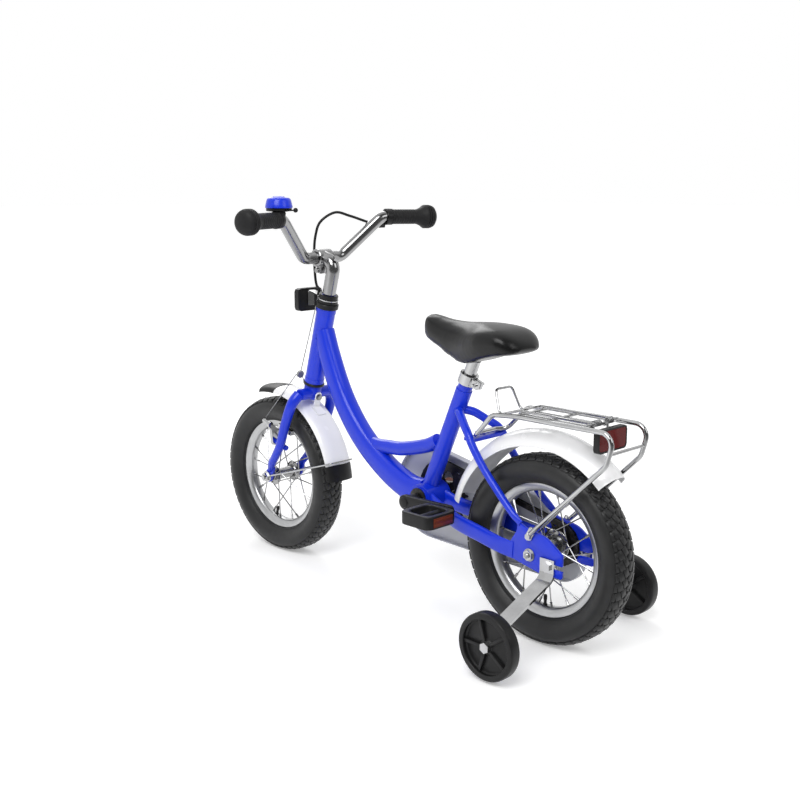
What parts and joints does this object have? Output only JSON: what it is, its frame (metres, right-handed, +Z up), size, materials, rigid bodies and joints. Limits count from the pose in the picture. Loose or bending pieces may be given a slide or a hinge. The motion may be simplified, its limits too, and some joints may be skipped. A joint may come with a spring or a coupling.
{
  "type": "kids bike with training wheels",
  "caption": "Small bicycle with low curved frame, rear rack with clip, fenders, chain guard, pedals, hand brake, bell, raised bars and a stabiliser wheel on each side.",
  "frame": {"origin": "on the ground below the middle of the bounding box", "axes": "+X forwards, +Y to the rider's left, +Z up"},
  "size_m": [0.9734, 0.4668, 0.7046],
  "materials": {
    "blue_paint": "gloss",
    "chrome": "polished",
    "steel": "satin",
    "dark_steel": "satin",
    "alloy_rim": "satin",
    "tyre_rubber": "matt",
    "grip_rubber": "matt",
    "black_plastic": "satin",
    "white_sheet": "gloss",
    "grey_plastic": "gloss",
    "red_lens": "gloss",
    "clear_lens": "gloss",
    "saddle_vinyl": "matt"
  },
  "bodies": {
    "frame": {"main_frame": "blue_paint", "left_rear_stays": "blue_paint", "right_rear_stays": "blue_paint", "stay_bridge": "blue_paint", "seat_clamp": "chrome", "rear_fender": "white_sheet", "rear_rack": "chrome", "rack_spring_left": "steel", "rack_spring_right": "steel", "rear_reflector_housing": "black_plastic", "rear_reflector_lens": "red_lens", "chain": "dark_steel", "bottom_bracket": "dark_steel", "chain_guard": "grey_plastic", "left_stabiliser_bracket": "chrome", "right_stabiliser_bracket": "chrome", "rear_axle": "steel", "headset_lower_cup": "black_plastic", "headset_upper_cup": "black_plastic"},
    "rear_wheel": {"rear_tyre": "tyre_rubber", "rear_rim": "alloy_rim", "rear_spokes": "steel"},
    "sprocket": {"rear_sprocket": "steel"},
    "cranks": {"crankset": "black_plastic", "chainring": "dark_steel"},
    "pedal_left": {"left_pedal": "black_plastic"},
    "pedal_right": {"right_pedal": "black_plastic"},
    "stabiliser_wheel_left": {"left_training_wheel": "black_plastic"},
    "stabiliser_wheel_right": {"right_training_wheel": "black_plastic"},
    "seat": {"seat_post": "steel", "saddle": "saddle_vinyl"},
    "clip": {"rack_clip": "chrome"},
    "steering": {"fork": "blue_paint", "headset_locknut": "black_plastic", "cable_hanger": "chrome", "front_reflector_housing": "black_plastic", "front_reflector_lens": "clear_lens", "front_fender": "white_sheet", "front_fender_front_cap": "black_plastic", "front_fender_rear_cap": "black_plastic", "front_fender_stay": "chrome", "front_axle": "steel", "straddle_wire": "steel"},
    "front_wheel": {"front_tyre": "tyre_rubber", "front_rim": "alloy_rim", "front_spokes": "steel"},
    "bars": {"stem": "chrome", "handlebar": "chrome", "left_grip": "grip_rubber", "right_grip": "grip_rubber", "bell_base": "black_plastic", "bell_dome": "blue_paint", "brake_lever_bracket": "black_plastic", "brake_cable_housing": "black_plastic"},
    "lever": {"brake_lever": "black_plastic"},
    "striker": {"bell_striker": "black_plastic"},
    "brake_arm_left": {"left_brake_arm": "chrome"},
    "brake_arm_right": {"right_brake_arm": "chrome"},
    "yoke": {"brake_wire": "steel"}
  },
  "joints": [
    {"name": "steering", "type": "hinge", "parent": "frame", "child": "steering", "pos_m": [0.23367, 0, 0.354], "axis": [-0.2622, 0, 0.965], "range_deg": [-60, 60]},
    {"name": "stem_height", "type": "slide", "parent": "steering", "child": "bars", "axis": [-0.2622, 0, 0.965], "range_m": [0, 0.025], "deforming": ["brake_cable_housing"]},
    {"name": "front_wheel_spin", "type": "hinge", "parent": "steering", "child": "front_wheel", "pos_m": [0.33167, 0, 0.155], "axis": [0, 1, 0], "continuous": true},
    {"name": "rear_wheel_spin", "type": "hinge", "parent": "frame", "child": "rear_wheel", "pos_m": [-0.33232, 0, 0.155], "axis": [0, 1, 0], "continuous": true},
    {"name": "crank_spin", "type": "hinge", "parent": "frame", "child": "cranks", "pos_m": [-0.07533, 0, 0.191], "axis": [0, 1, 0], "continuous": true, "deforming": ["chain"]},
    {"name": "sprocket_spin", "type": "hinge", "parent": "frame", "child": "sprocket", "pos_m": [-0.33232, 0, 0.155], "axis": [0, 1, 0], "continuous": true},
    {"name": "left_pedal_spin", "type": "hinge", "parent": "cranks", "child": "pedal_left", "pos_m": [-0.17514, 0, 0.19711], "axis": [0, 1, 0], "continuous": true},
    {"name": "right_pedal_spin", "type": "hinge", "parent": "cranks", "child": "pedal_right", "pos_m": [0.02449, 0, 0.1849], "axis": [0, 1, 0], "continuous": true},
    {"name": "left_training_wheel_spin", "type": "hinge", "parent": "frame", "child": "stabiliser_wheel_left", "pos_m": [-0.36983, 0, 0.0565], "axis": [0, 1, 0], "continuous": true},
    {"name": "right_training_wheel_spin", "type": "hinge", "parent": "frame", "child": "stabiliser_wheel_right", "pos_m": [-0.36983, 0, 0.0565], "axis": [0, 1, 0], "continuous": true},
    {"name": "seat_height", "type": "slide", "parent": "frame", "child": "seat", "axis": [-0.3907, 0, 0.9205], "range_m": [0, 0.05]},
    {"name": "rack_clip_lift", "type": "hinge", "parent": "frame", "child": "clip", "pos_m": [-0.43133, 0, 0.3775], "axis": [0, -1, 0], "range_deg": [0, 15], "stiffness_Nm_per_rad": 0.4, "springref_deg": -17.19},
    {"name": "brake_lever_pull", "type": "hinge", "parent": "bars", "child": "lever", "pos_m": [0.19271, -0.133, 0.65304], "axis": [0.2622, 0, -0.965], "range_deg": [0, 15], "stiffness_Nm_per_rad": 0.8, "springref_deg": -2.86, "deforming": ["straddle_wire"]},
    {"name": "bell_striker_swing", "type": "hinge", "parent": "bars", "child": "striker", "pos_m": [0.15776, 0.1238, 0.68129], "axis": [-0.2622, 0, 0.965], "range_deg": [0, 25], "stiffness_Nm_per_rad": 0.05, "springref_deg": -2.86},
    {"name": "left_brake_arm_squeeze", "type": "hinge", "parent": "steering", "child": "brake_arm_left", "pos_m": [0.30986, 0.042, 0.23377], "axis": [0.965, 0, 0.2622], "range_deg": [0, 4]},
    {"name": "right_brake_arm_squeeze", "type": "hinge", "parent": "steering", "child": "brake_arm_right", "pos_m": [0.30986, -0.042, 0.23377], "axis": [-0.965, 0, -0.2622], "range_deg": [0, 4]},
    {"name": "brake_wire_pull", "type": "slide", "parent": "steering", "child": "yoke", "axis": [-0.3431, 0, 0.9393], "range_m": [0, 0.002]}
  ],
  "couplings": [
    {"joint": "sprocket_spin", "follows": "crank_spin", "ratio": 1.625},
    {"joint": "left_brake_arm_squeeze", "follows": "brake_lever_pull", "ratio": 0.26},
    {"joint": "right_brake_arm_squeeze", "follows": "brake_lever_pull", "ratio": 0.26},
    {"joint": "brake_wire_pull", "follows": "brake_lever_pull", "m_per_rad": 0.0075}
  ]
}
